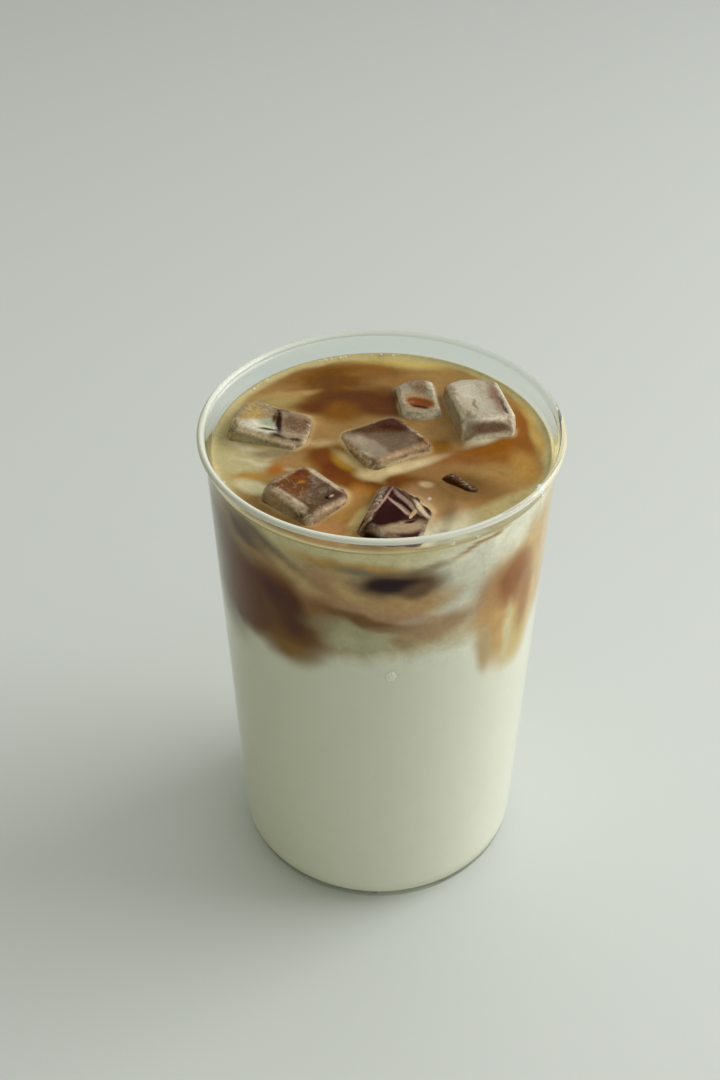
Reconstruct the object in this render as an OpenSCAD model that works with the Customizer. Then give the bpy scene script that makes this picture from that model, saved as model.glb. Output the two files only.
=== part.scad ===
// Iced latte: a flared glass tumbler holding milk, a coffee layer above it and floating ice.
// The origin is the centre of the foot, on the surface that the glass stands on, and +Z is up.

/* [Glass] */
// Height from the foot to the top of the rim
glass_h = 132; // [110:1:150]
// Outer diameter of the rim, the widest place
rim_d = 86; // [76:1:96]
// Diameter of the round bead along the rim
bead_d = 1.6; // [1.4:0.1:2.2]
// Outer diameter of the body where it starts to flare
neck_d = 82.6; // [74:0.2:90]
// Height of the flared mouth, from the neck to the top of the rim
flare_h = 6; // [5.5:0.5:9]
// Outer diameter of the body just above the rounded foot
foot_d = 74.4; // [64:0.2:82]
// Outer radius of the rounded foot
foot_r = 8; // [5:0.5:12]
// Thickness of the side wall
wall = 1.4; // [1:0.1:2]
// Thickness of the bottom at its centre, above the hollow underneath
bottom_t = 2.6; // [2:0.1:4]
// Diameter of the shallow hollow under the foot
punt_d = 44; // [30:1:50]
// Depth of the hollow under the foot
punt_h = 0.8; // [0.4:0.1:1.5]

/* [Drink] */
// Depth of the coffee layer at its thinnest, from the surface at the neck down to the milk
coffee_t = 29; // [26:1:45]
// How far the lobes of coffee sink into the milk, as a share of their full depth
lobe_share = 1; // [0:0.1:1.3]

/* [Ice] */
// Long side of an ice cube
ice_l = 19; // [15:0.5:21]
// Short side of an ice cube
ice_w = 16.5; // [13:0.5:18]
// Width of the worn edges of a cube
ice_wear = 1.1; // [0.7:0.1:1.6]
// Depth of the dished top of a cube
ice_dish = 0.7; // [0.3:0.1:1]
// Gap between the ice and the drink around it
ice_gap = 0.15; // [0.1:0.05:0.3]

/* [Hidden] */
$fn = 96;

arc_step = 10;    // degrees between the points of an arc
flare_steps = 8;  // points along the flared mouth
lobe_step = 2;    // spacing of the points along the lobes
bead_r = bead_d / 2;
bead_z = glass_h - bead_r;
neck_z = glass_h - flare_h;
floor_z = punt_h + bottom_t;
level_z = neck_z;
layer_z = level_z - coffee_t;
in_corner_r = foot_r - wall;

// Radius of the outside of the straight body at height z
function body_r(z) = foot_d / 2 + (neck_d - foot_d) / 2 * (z - foot_r) / (neck_z - foot_r);

// How far the mouth has flared outwards at height z
function flare(z) =
    let (t = max(0, (z - neck_z) / (bead_z - neck_z)))
    (rim_d / 2 - bead_r + wall / 2 - body_r(bead_z)) * t * t;

function outer_r(z) = body_r(z) + flare(z);
function inner_r(z) = outer_r(z) - wall;

// Points of an arc in the profile plane
function arc(centre, r, from, to) =
    let (n = ceil(abs(to - from) / arc_step))
    [for (i = [0:n]) let (a = from + (to - from) * i / n) centre + r * [cos(a), sin(a)]];

// Points of the flared mouth from the neck up to height z, on the outside or on the inside
function mouth(z, inside) =
    [for (i = [0:flare_steps]) let (h = neck_z + (z - neck_z) * i / flare_steps)
        [inside ? inner_r(h) : outer_r(h), h]];

function reversed(points) = [for (i = [len(points) - 1:-1:0]) points[i]];

// The rounded inside corner between the floor and the wall
function inner_corner() =
    arc([inner_r(floor_z + in_corner_r) - in_corner_r, floor_z + in_corner_r], in_corner_r, -90, 0);

// The hollow under the foot is part of a large ball
punt_ball_r = (pow(punt_d / 2, 2) + punt_h * punt_h) / (2 * punt_h);

module glass() {
    color([0.86, 0.90, 0.86, 0.35])
    difference() {
        rotate_extrude()
        polygon(concat(
            [[0, 0], [foot_d / 2 - foot_r, 0]],
            arc([foot_d / 2 - foot_r, foot_r], foot_r, -90, 0),
            mouth(bead_z - bead_r / 2, false),
            arc([rim_d / 2 - bead_r, bead_z], bead_r, -25, 205),
            reversed(mouth(bead_z - bead_r / 2, true)),
            reversed(inner_corner()),
            [[0, floor_z]]
        ));
        translate([0, 0, punt_h - punt_ball_r])
        sphere(r = punt_ball_r);
    }
}

// The inside of the glass, from its floor up to the surface of the drink at the neck
module filling() {
    rotate_extrude()
    polygon(concat([[0, floor_z]], inner_corner(), [[inner_r(level_z), level_z], [0, level_z]]));
}

// Lobes of coffee that hang into the milk and run through from front to back: each has its
// place along X, its depth and its half width
lobes = [[-33, 6, 8], [-19, 9, 9], [5, 3.5, 10], [29, 11, 10]];

// Depth of the lobes at a place along X
function lobe_depth(x) =
    lobe_share * max([for (lobe = lobes) lobe[1] * sqrt(max(0, 1 - pow((x - lobe[0]) / lobe[2], 2)))]);

// All the space above the milk
module above_milk() {
    rotate([90, 0, 0])
    linear_extrude(height = 2 * rim_d, center = true)
    polygon(concat(
        [[rim_d, glass_h], [-rim_d, glass_h], [-rim_d, layer_z]],
        [for (x = [-rim_d / 2:lobe_step:rim_d / 2]) [x, layer_z - lobe_depth(x)]],
        [[rim_d, layer_z]]
    ));
}

module milk() {
    color([0.93, 0.91, 0.82])
    difference() {
        filling();
        above_milk();
    }
}

// The coffee has a square-cornered hollow round each piece of ice
module coffee() {
    color([0.62, 0.43, 0.24])
    difference() {
        intersection() {
            filling();
            above_milk();
        }
        for (piece = ice_pieces)
            place(piece) cube(piece[1] + 2 * ice_gap * [1, 1, 1], center = true);
    }
}

// Each piece of ice: name, size, centre with its height above the drink's surface, and turn
ice_pieces = [
    ["ice_centre", [ice_l - 1.5, ice_l - 1, ice_w - 1.5], [0.9, 0.4, -5.8], [-8, 0, 30]],
    ["ice_back_left", [ice_l, ice_w - 1.3, ice_w - 2.2], [-26.6, 6.6, -4.8], [-6, 9, -15]],
    ["ice_back_right", [ice_w - 3, ice_l + 2, ice_w + 0.5], [23.4, 12.2, -3.4], [-6, 4, 10]],
    ["ice_back_middle", [ice_l - 3, ice_w - 6.9, ice_w - 3.5], [9.5, ice_l - 1.1, -4], [5, 2, -82]],
    ["ice_front_left", [ice_w - 1.5, ice_w - 1, ice_w - 1.5], [-17.8, -20.8, -4.2], [7, 9, 48]],
    ["ice_front_middle", [ice_w - 2.5, ice_w + 1.5, ice_w - 2.5], [1.9, -27.5, -5], [-3, 20, -19]],
    ["ice_front_right", [ice_w - 2.5, ice_w - 2.5, ice_w - 2.5], [17.8, -15.2, -8.9], [38, 5, -42]]
];

module place(piece) {
    translate([0, 0, level_z])
    translate(piece[2])
    rotate(piece[3])
    children();
}

// A block with its edges and corners melted away
module worn_block(size) {
    flat = ice_wear * sqrt(2);
    intersection() {
        cube(size, center = true);
        rotate([45, 0, 0])
        cube([size.x, (size.y + size.z) / sqrt(2) - flat, (size.y + size.z) / sqrt(2) - flat], center = true);
        rotate([0, 45, 0])
        cube([(size.x + size.z) / sqrt(2) - flat, size.y, (size.x + size.z) / sqrt(2) - flat], center = true);
        rotate([0, 0, 45])
        cube([(size.x + size.y) / sqrt(2) - flat, (size.x + size.y) / sqrt(2) - flat, size.z], center = true);
        sphere(r = norm(size) / 2 - 2 * ice_wear);
    }
}

module ice(piece) {
    dish_ball_r = piece[1].y * 1.5;
    color([0.86, 0.84, 0.80, 0.45])
    place(piece)
    difference() {
        worn_block(piece[1]);
        translate([0, 0, piece[1].z / 2 - ice_dish + dish_ball_r])
        sphere(r = dish_ball_r);
    }
}

glass();
milk();
coffee();
for (piece = ice_pieces)
    ice(piece);
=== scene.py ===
"""The looks of an iced latte in a glass tumbler, built round its CAD solids.

Lengths named below are in millimetres, and MM turns them into Blender's metres. The front of the
glass is towards -Y. Directions round the glass are in degrees from +X, so the front is at -90.
"""
import math

import bmesh
import bpy
import numpy as np
from mathutils import Euler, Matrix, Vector
from mathutils.bvhtree import BVHTree


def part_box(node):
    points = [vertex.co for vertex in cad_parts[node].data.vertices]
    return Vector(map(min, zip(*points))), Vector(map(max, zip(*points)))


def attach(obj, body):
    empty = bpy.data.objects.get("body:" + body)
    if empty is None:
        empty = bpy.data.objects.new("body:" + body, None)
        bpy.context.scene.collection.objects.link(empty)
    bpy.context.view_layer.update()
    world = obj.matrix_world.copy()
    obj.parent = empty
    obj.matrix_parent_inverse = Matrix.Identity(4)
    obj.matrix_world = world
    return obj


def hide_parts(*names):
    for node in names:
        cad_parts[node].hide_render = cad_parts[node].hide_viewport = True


MM = 0.001

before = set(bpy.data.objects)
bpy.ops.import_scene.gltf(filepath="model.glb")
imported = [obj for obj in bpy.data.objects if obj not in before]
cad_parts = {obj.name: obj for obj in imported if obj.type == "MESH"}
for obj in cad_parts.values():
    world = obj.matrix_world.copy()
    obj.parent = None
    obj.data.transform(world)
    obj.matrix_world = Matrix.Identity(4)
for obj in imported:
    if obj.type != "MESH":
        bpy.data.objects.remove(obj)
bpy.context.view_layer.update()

# The glass: the same profile as the CAD glass
GLASS_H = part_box("glass")[1][2] / MM
RIM_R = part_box("glass")[1][0] / MM
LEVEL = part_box("coffee")[1][2] / MM
BEAD_R = 0.8
NECK_R = 41.3
FOOT_R = 37.2
CORNER_R = 8.0
WALL = 1.4
FLOOR_Z = 3.4
PUNT_R = 22.0
PUNT_H = 0.8
AROUND = 256  # segments round the glass
GLASS_IOR = 1.32
RIM_PAINTED_SHEEN = 0.5  # share of a pale layer on the rim: a painted highlight
RIM_SWING = 0.8  # how much of itself it gains towards RIM_SHINES_TO and loses opposite
RIM_SHINES_TO = np.array([-0.5, -0.87])
RIM_BAND = (1.7, 0.9)  # where that sets in, below the top
FOOT_PAINTED_LIGHT = 0.45  # share of the same pale layer on the foot: painted light
FOOT_BAND = (6, 2)  # heights at which that sets in

# The drink
REACH = 0.12  # how far the drink reaches into the wall, so that no air gap shows
DRINK_AROUND = 384
TOP_RINGS = 96
RINGS_OUTWARDS = 0.35  # how much closer together the rings are towards the wall
SIDE_RINGS = 150
WALL_CLIMB = 0.7  # height of the drink's curved edge at the wall
WALL_CURVE = 0.8  # distance in which it falls to about a third
ICE_CLIMB = 0.45  # height of the drink's curved edge at the ice
ICE_CURVE = 0.7
INLAND = 4  # distance from the wall in which waves and dips fade out
DRINK_WAVES = [(8.0, 0.10, 61)]  # unevenness of the drink: width, height, seed
AWASH = 1.0  # the drink doesn't climb up ice that rises less than this
COVERED = 0.5  # how far inside the ice the drink's surface drops to its underside
UNDER_ICE = 0.15  # how far the surface stays inside the ice there
NEAR_ICE = 6  # how far round the ice its edge is looked for
PROBE = 40  # length of the rays that find the ice
NO_ICE = 9.0  # the gap where no ice is near

ICE_VOXEL = 0.30  # size of the cells that the ice is remeshed in
ICE_SMOOTHING = 3  # rounds
ICE_WAVES = [(5.0, 0.12, 0), (2.0, 0.05, 40)]  # unevenness of the ice: width, height, seed
VIEW_SLOPE = 1.23  # how far a mark on the ice moves forwards for each millimetre that it is lower

# Colours are mixed in patches, each laid over the last: place, half length, half width, turn in
# degrees, colour (0 to 255 a channel) and softness of the edge. The place is x, y on the ice and
# on the drink's surface, and direction, height on its side.

# The ice, by the names of its CAD nodes. Its marks are placed on a level plane at height "plane", and
# "turn" is how the CAD cube is turned. "body" is its main colour, "rim" that of the lines along its
# edges, partly rime and partly painted highlight, "pit" that of the coffee under it, darkened as
# painted shade, and "frost" how frosty its faces are, which also sets their painted glints. Body and
# marks hold the ice's own cracks and clouds, and also painted reflections and the painted shade of
# the coffee seen through it.
ICE = {
    "ice_centre": {
        "plane": 129, "turn": (-8, 0, 30),
        "body": (116, 92, 72), "rim": (170, 138, 102), "shaded_pit": (70, 36, 10),
        "frost": 0.15,
        "marks": [
            (3, 5.5, 7, 3.6, -10, (70, 36, 12), 0.5),
            (-4, 2.8, 3.6, 1.5, 0, (78, 50, 20), 0.6),
            (5, -2.5, 5.5, 3, 5, (120, 96, 76), 0.6),
            (9.3, 0, 1.2, 5, 8, (92, 54, 22), 0.6),
            (-4.5, -4.2, 7.4, 3.3, -40, (164, 146, 122), 0.3),
            (-1.6, -5.6, 2.4, 4.4, 24, (152, 134, 112), 0.4),
            (-3.4, -7.6, 1.2, 1.2, 0, (182, 166, 140), 0.6),
            (-7.2, -5.2, 5, 0.4, -52, (58, 38, 20), 0.5),
            (-5, 5.4, 8, 0.8, 32, (128, 92, 68), 0.5),
            (8.2, 4.6, 6, 0.7, -52, (138, 96, 58), 0.5),
            (5, -9.4, 6.6, 1.2, 23, (204, 184, 146), 0.4),
            (-4.5, -10.8, 5, 0.9, -48, (190, 164, 118), 0.5),
            (-3.1, -10.1, 0.35, 0.35, 0, (50, 34, 16), 0.3),
        ],
    },
    "ice_back_left": {
        "plane": 128, "turn": (-6, 9, -15),
        "body": (146, 126, 98), "rim": (178, 156, 124), "shaded_pit": (92, 60, 24),
        "frost": 0.5,
        "marks": [
            (-28, -5, 11, 4.2, -12, (188, 172, 132), 0.6),
            (-36.5, 3, 2.6, 9, -10, (178, 156, 108), 0.6),
            (-31.5, 10.5, 3.4, 4.5, 0, (168, 138, 78), 0.6),
            (-34.6, 11.5, 0.9, 4.6, -16, (82, 60, 44), 0.5),
            (-33, 12.5, 0.5, 4, -20, (170, 140, 108), 0.5),
            (-29, 4.6, 4.4, 3.0, -15, (206, 200, 178), 0.5),
            (-30, 0.5, 3.6, 2.6, -10, (184, 172, 142), 0.6),
            (-26.8, 6.8, 2.2, 1.6, -20, (156, 156, 130), 0.5),
            (-24.4, 7.4, 0.9, 5.6, 3, (48, 30, 10), 0.45),
            (-22.4, 12.4, 1.8, 0.8, -10, (64, 44, 16), 0.5),
            (-26.6, 4.0, 2.4, 0.5, -14, (70, 60, 34), 0.5),
            (-25.4, 9.4, 0.6, 2.2, -10, (72, 52, 26), 0.5),
            (-24, 0.8, 2.4, 1.0, -30, (48, 28, 8), 0.5),
            (-20.4, -0.6, 3.4, 0.8, -4, (64, 40, 14), 0.5),
            (-20.4, -2.9, 1.8, 0.6, 0, (70, 48, 18), 0.5),
            (-18.9, 6, 3.6, 3.8, 0, (150, 122, 94), 0.35),
            (-19.9, 6, 2.9, 3.0, 0, (114, 84, 56), 0.3),
            (-21, 7.5, 2.0, 2.4, 0, (120, 92, 68), 0.5),
            (-18, 7.2, 0.5, 0.5, 0, (96, 70, 46), 0.5),
            (-16.4, -1.4, 0.7, 3.6, -28, (184, 154, 120), 0.5),
            (-15.2, 0, 0.5, 3.6, -28, (92, 66, 38), 0.5),
            (-18.6, -4.6, 2, 0.6, 20, (168, 138, 100), 0.5),
            (-20, 12.2, 6.5, 0.7, -33, (148, 118, 92), 0.5),
        ],
    },
    # Its pale body and top are partly a painted reflection of the bright room.
    "ice_back_right": {
        "plane": 129, "turn": (-6, 4, 10),
        "body": (180, 168, 146), "rim": (206, 192, 168), "shaded_pit": (140, 112, 80),
        "frost": 0.15,
        "marks": [
            (21, 23.8, 7.5, 2.4, -8, (158, 148, 114), 0.6),
            (16.0, 8, 1.8, 9, 6, (196, 186, 166), 0.6),
            (22, 17, 3.6, 6.5, 14, (192, 182, 162), 0.5),
            (25.2, 18, 1.4, 6, 10, (180, 168, 146), 0.5),
            (19.2, 12, 2.2, 4, 10, (176, 160, 136), 0.6),
            (22.4, 12.4, 0.45, 2.4, 4, (136, 120, 92), 0.6),
            (19.6, 8.6, 1.5, 1.4, 20, (138, 120, 90), 0.6),
            (27.8, 15.5, 1.3, 7, 8, (146, 112, 92), 0.6),
            (29.4, 10.5, 0.5, 5.5, 11, (86, 60, 42), 0.5),
            (15.4, 20.5, 1.2, 4, 20, (152, 106, 62), 0.6),
            (17.2, 19.5, 0.8, 3.5, 20, (176, 138, 112), 0.6),
            (24.5, 7.2, 6.6, 0.9, 5, (184, 166, 150), 0.5),
            (25.4, 3.2, 5.6, 2.6, 8, (134, 108, 88), 0.5),
            (21.2, -1.5, 1.6, 2.4, -25, (140, 114, 92), 0.5),
            (18.2, 0.5, 0.7, 5, 4, (186, 160, 138), 0.5),
            (25.2, -1.4, 8, 2.0, 20, (226, 216, 192), 0.4),
            (20.4, -3.6, 2.8, 0.9, -10, (216, 202, 172), 0.5),
            (30.8, 8.5, 0.5, 7, 9, (196, 176, 146), 0.5),
        ],
    },
    "ice_back_middle": {
        "plane": 129, "turn": (5, 2, -82),
        "body": (164, 150, 126), "rim": (192, 178, 150), "shaded_pit": (110, 76, 40),
        "frost": 0.3,
        "marks": [
            (9.6, 22, 2.4, 4.6, 10, (140, 114, 88), 0.6),
            (12.2, 21, 0.9, 5.5, 8, (184, 176, 150), 0.5),
            (13.6, 25.8, 1.3, 0.6, -40, (76, 66, 36), 0.5),
            (13, 9.4, 2.8, 4.2, 8, (192, 182, 158), 0.5),
            (14.6, 15, 1.0, 3.4, -14, (186, 174, 148), 0.5),
            (16.2, 12, 0.8, 6.5, -10, (214, 202, 172), 0.5),
            (9.2, 14.2, 5.0, 3.2, -22, (176, 142, 102), 0.3),
            (9.8, 14.0, 3.6, 1.9, -24, (132, 70, 12), 0.3),
            (9.4, 12.4, 2.2, 0.6, -26, (62, 36, 10), 0.5),
            (14, 7.4, 1.2, 1.2, 0, (164, 152, 132), 0.5),
            (14.6, 2.6, 2.4, 1.6, 0, (112, 88, 62), 0.6),
        ],
    },
    "ice_front_left": {
        "plane": 128, "turn": (7, 9, 48),
        "body": (112, 84, 56), "rim": (172, 146, 116), "shaded_pit": (92, 52, 12),
        "frost": 0.3,
        "marks": [
            (-24.6, -27.0, 7.0, 2.6, -42, (184, 162, 132), 0.5),
            (-13.4, -30.4, 5.5, 1.6, 24, (156, 130, 100), 0.5),
            (-19.6, -16.4, 4.6, 5.2, 0, (108, 62, 10), 0.4),
            (-21.2, -18, 3, 2.4, -20, (98, 58, 14), 0.5),
            (-18, -16.8, 0.7, 0.5, 0, (170, 108, 40), 0.6),
            (-18.6, -13.4, 1.2, 1.0, 0, (90, 40, 4), 0.6),
            (-13.4, -19, 3.6, 5.4, 12, (98, 74, 54), 0.35),
            (-14.4, -25.4, 5.6, 2.4, 2, (84, 62, 34), 0.5),
            (-10.4, -22.2, 2.6, 2.0, -40, (72, 48, 32), 0.5),
            (-12.3, -22.4, 0.6, 0.6, 0, (30, 16, 8), 0.4),
            (-11.4, -22.0, 0.45, 0.45, 0, (186, 160, 132), 0.4),
            (-13.2, -15.6, 6.4, 0.7, -48, (194, 170, 142), 0.4),
            (-12.2, -14.9, 7.0, 0.5, -48, (84, 62, 42), 0.4),
            (-11.2, -14.4, 7.6, 0.6, -48, (154, 128, 98), 0.4),
            (-9.2, -19.0, 3.4, 0.5, -46, (206, 182, 150), 0.5),
            (-8.0, -20.6, 2.6, 0.5, -50, (60, 40, 20), 0.5),
            (-6.9, -23, 0.8, 1.2, 0, (196, 166, 132), 0.5),
            (-22.8, -22.6, 6.4, 2.0, -42, (178, 154, 124), 0.4),
            (-21.4, -22.2, 5.4, 0.6, -44, (222, 200, 168), 0.5),
            (-24.6, -25, 4.4, 1.4, -32, (166, 140, 112), 0.5),
            (-27.6, -23.8, 2.2, 0.8, -26, (54, 50, 26), 0.5),
            (-12.5, -27.4, 6.0, 0.6, 20, (66, 46, 28), 0.5),
            (-12.0, -28.6, 5.6, 1.0, 22, (176, 148, 118), 0.5),
            (-21.5, -13.6, 5.4, 0.9, 50, (150, 118, 84), 0.5),
        ],
    },
    # Its dark body and dark marks are painted shade: the coffee that little light reaches, seen through
    # it.
    "ice_front_middle": {
        "plane": 128, "turn": (-3, 20, -19),
        "body": (58, 34, 24), "rim": (132, 106, 84), "shaded_pit": (26, 8, 3),
        "frost": 0.12,
        "marks": [
            (0.4, -29, 2.9, 7.4, -24, (46, 22, 12), 0.3),
            (1.8, -27.6, 3.4, 3.6, 0, (46, 22, 12), 0.4),
            (2.4, -22, 1.0, 2.8, -16, (62, 24, 16), 0.5),
            (5.0, -24.6, 4.8, 1.4, -56, (46, 20, 14), 0.4),
            (3.6, -25.6, 4.2, 0.32, -52, (176, 150, 132), 0.4),
            (4.6, -26.2, 3.6, 0.25, -52, (132, 106, 92), 0.4),
            (5.5, -24.2, 5.2, 0.55, -57, (142, 118, 102), 0.4),
            (7.4, -24.6, 5.0, 0.6, -58, (84, 60, 40), 0.4),
            (8.9, -27.2, 4.0, 0.6, -62, (204, 184, 152), 0.4),
            (4.6, -33.2, 6.0, 1.9, 12, (158, 134, 104), 0.5),
            (1.5, -34.2, 4.0, 1.0, 6, (150, 128, 98), 0.6),
            (6.0, -31.4, 1.4, 0.5, 30, (44, 22, 10), 0.5),
            (-1.8, -27.6, 8.6, 0.35, 64, (184, 150, 124), 0.4),
            (-3.0, -28.8, 6.6, 0.5, 62, (72, 44, 20), 0.5),
        ],
    },
    # Its dark body and marks are partly painted shade, of the coffee round and under it.
    "ice_front_right": {
        "plane": 127, "turn": (38, 5, -42),
        "body": (64, 40, 20), "rim": (84, 60, 38), "shaded_pit": (40, 20, 8),
        "frost": 0.2,
        "marks": [
            (18.9, -14.6, 4.2, 1.0, -38, (32, 12, 5), 0.4),
            (18.2, -13.6, 1.6, 0.3, -38, (120, 100, 84), 0.5),
        ],
    },
}
ICE_LIGHTEN = 1.32  # lightens the painted colours of the ice, part of which is clear
ICE_CLEAR = 0.2  # share of the ice that is clear
DIM = 0.08  # ice darker than this is less clear, less frosty and has fewer painted glints
DEEP = 0.03  # ice darker than this shows no shine
# Lighter lines along the edges, partly rime and partly painted highlight: how far in they reach, how
# strong they are and how light
EDGE_LINES = [(1.9, 0.35, 0.75), (1.35, 0.6, 1.0), (0.85, 0.6, 1.25)]
SHINE = (1.0, 0.82, 0.58, 1)  # the tint of what shines on the ice and on the drink
FROST_REACH = 1.7  # width of the band along the edges of the ice that is frosty and holds painted glints
VEIL = np.array([0.018, 0.016, 0.011])  # light that shine adds, which the colours under it lack

TOP_BODY = (158, 122, 72)
TOP_EDGE = (192, 176, 128)
MENISCUS = (204, 182, 138)  # where the drink climbs up the ice
TOP_LIGHTEN = 1.05
TOP_PATCHES = [
    (6, 37, 20, 3.0, -3, (194, 168, 100), 0.5),
    (-22, 27, 8, 4, 35, (158, 120, 70), 0.5),
    (-9, 30, 14, 6.2, 6, (122, 80, 28), 0.45),
    (-12, 27, 5.5, 6, 0, (108, 68, 20), 0.6),
    (-3, 32, 5, 2.6, 0, (138, 94, 44), 0.6),
    (3, 27, 7, 3.4, 0, (148, 108, 60), 0.5),
    (-2, 24, 8, 1.8, 0, (142, 106, 62), 0.6),
    (-5, 18.5, 14, 6.2, -4, (96, 56, 8), 0.5),
    (-16, 16, 4.5, 2.8, 0, (102, 58, 10), 0.7),
    (2.5, 15.5, 5.5, 3.8, 0, (100, 58, 12), 0.7),
    (-9.5, 13.5, 4, 4.5, 0, (126, 80, 24), 0.6),
    (-26, 19, 6, 3.2, 18, (166, 142, 88), 0.5),
    (-21, 22, 5, 1.4, 12, (176, 140, 86), 0.6),
    (-37, 2, 6, 18, 4, (182, 166, 112), 0.5),
    (-31, -5, 8, 6, 10, (192, 178, 132), 0.5),
    (-30, -1.5, 7, 0.9, -22, (208, 194, 160), 0.6),
    (-27, -7.5, 7, 0.8, -20, (206, 194, 160), 0.6),
    (-31, -12.3, 4.2, 1.7, -8, (176, 134, 64), 0.6),
    (-29, -16, 6, 2, -30, (204, 194, 152), 0.5),
    (-25, -3.4, 5, 1.8, -10, (148, 130, 96), 0.6),
    (-22, -7, 4, 2.5, 30, (166, 126, 78), 0.6),
    (-24, -10, 2.2, 1.4, 30, (170, 106, 40), 0.6),
    (-12.6, -4.5, 4.6, 6.4, 24, (116, 66, 4), 0.45),
    (-10.5, -10, 4, 4.8, -35, (104, 54, 2), 0.5),
    (-5, -14.5, 8, 3.4, -24, (114, 64, 6), 0.5),
    (4, -14.2, 10, 3.0, 8, (112, 66, 12), 0.5),
    (-8.8, -7, 4.4, 1.5, -54, (164, 120, 40), 0.6),
    (12, -6, 5, 2.4, 25, (124, 76, 22), 0.6),
    (13, 0.5, 2.4, 3, 0, (130, 86, 14), 0.6),
    (-4.5, -17.5, 3.4, 2.4, 0, (142, 84, 18), 0.6),
    (-7, -24.5, 3.6, 8.5, -14, (172, 126, 68), 0.5),
    (-9.5, -19, 2.0, 3.0, 20, (196, 160, 104), 0.6),
    (-5.6, -28.5, 1.2, 6.4, -20, (202, 178, 116), 0.5),
    (-11, -31.5, 5, 2.5, -10, (176, 128, 80), 0.5),
    (-1.4, -20, 1.6, 3.6, -24, (122, 76, 16), 0.6),
    (9, -19, 4.6, 4.6, 0, (158, 122, 80), 0.5),
    (13, -8.5, 7, 4, 10, (152, 112, 66), 0.5),
    (10.5, -14.5, 1.8, 1.1, -10, (212, 186, 140), 0.5),
    (22, -4, 10, 4, 4, (142, 92, 44), 0.5),
    (30, -2, 6, 8, 0, (148, 94, 38), 0.5),
    (33.5, 6, 3.2, 10, 5, (142, 88, 32), 0.5),
    (36.8, 8, 1.8, 13, 8, (190, 154, 86), 0.5),
    (28, -12.5, 9, 4.5, 5, (166, 128, 74), 0.5),
    (34, -9, 3, 6, 20, (176, 132, 66), 0.5),
    (19.5, -16.5, 8.5, 5, -15, (128, 94, 52), 0.6),
    (12, -24.5, 7, 3.6, 5, (164, 128, 86), 0.5),
    (17, -27.5, 7, 2.6, 16, (190, 172, 136), 0.6),
    (9, -22, 3, 1.0, -35, (196, 164, 116), 0.6),
    (14, -31.5, 10, 3.6, 16, (206, 196, 164), 0.5),
    (29, -22, 9, 3, 36, (180, 162, 112), 0.5),
    (-5.6, -7.6, 7, 1.5, -46, (190, 164, 112), 0.6),
    (6.0, -8.0, 8, 1.7, 28, (212, 190, 146), 0.6),
    (-2.4, -11.2, 3.4, 1.6, 0, (206, 182, 134), 0.7),
    (25.2, 2.8, 6.0, 1.8, 26, (222, 210, 182), 0.6),
    (-14.6, 0.6, 4.4, 1.5, 10, (178, 150, 104), 0.8),
]

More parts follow.
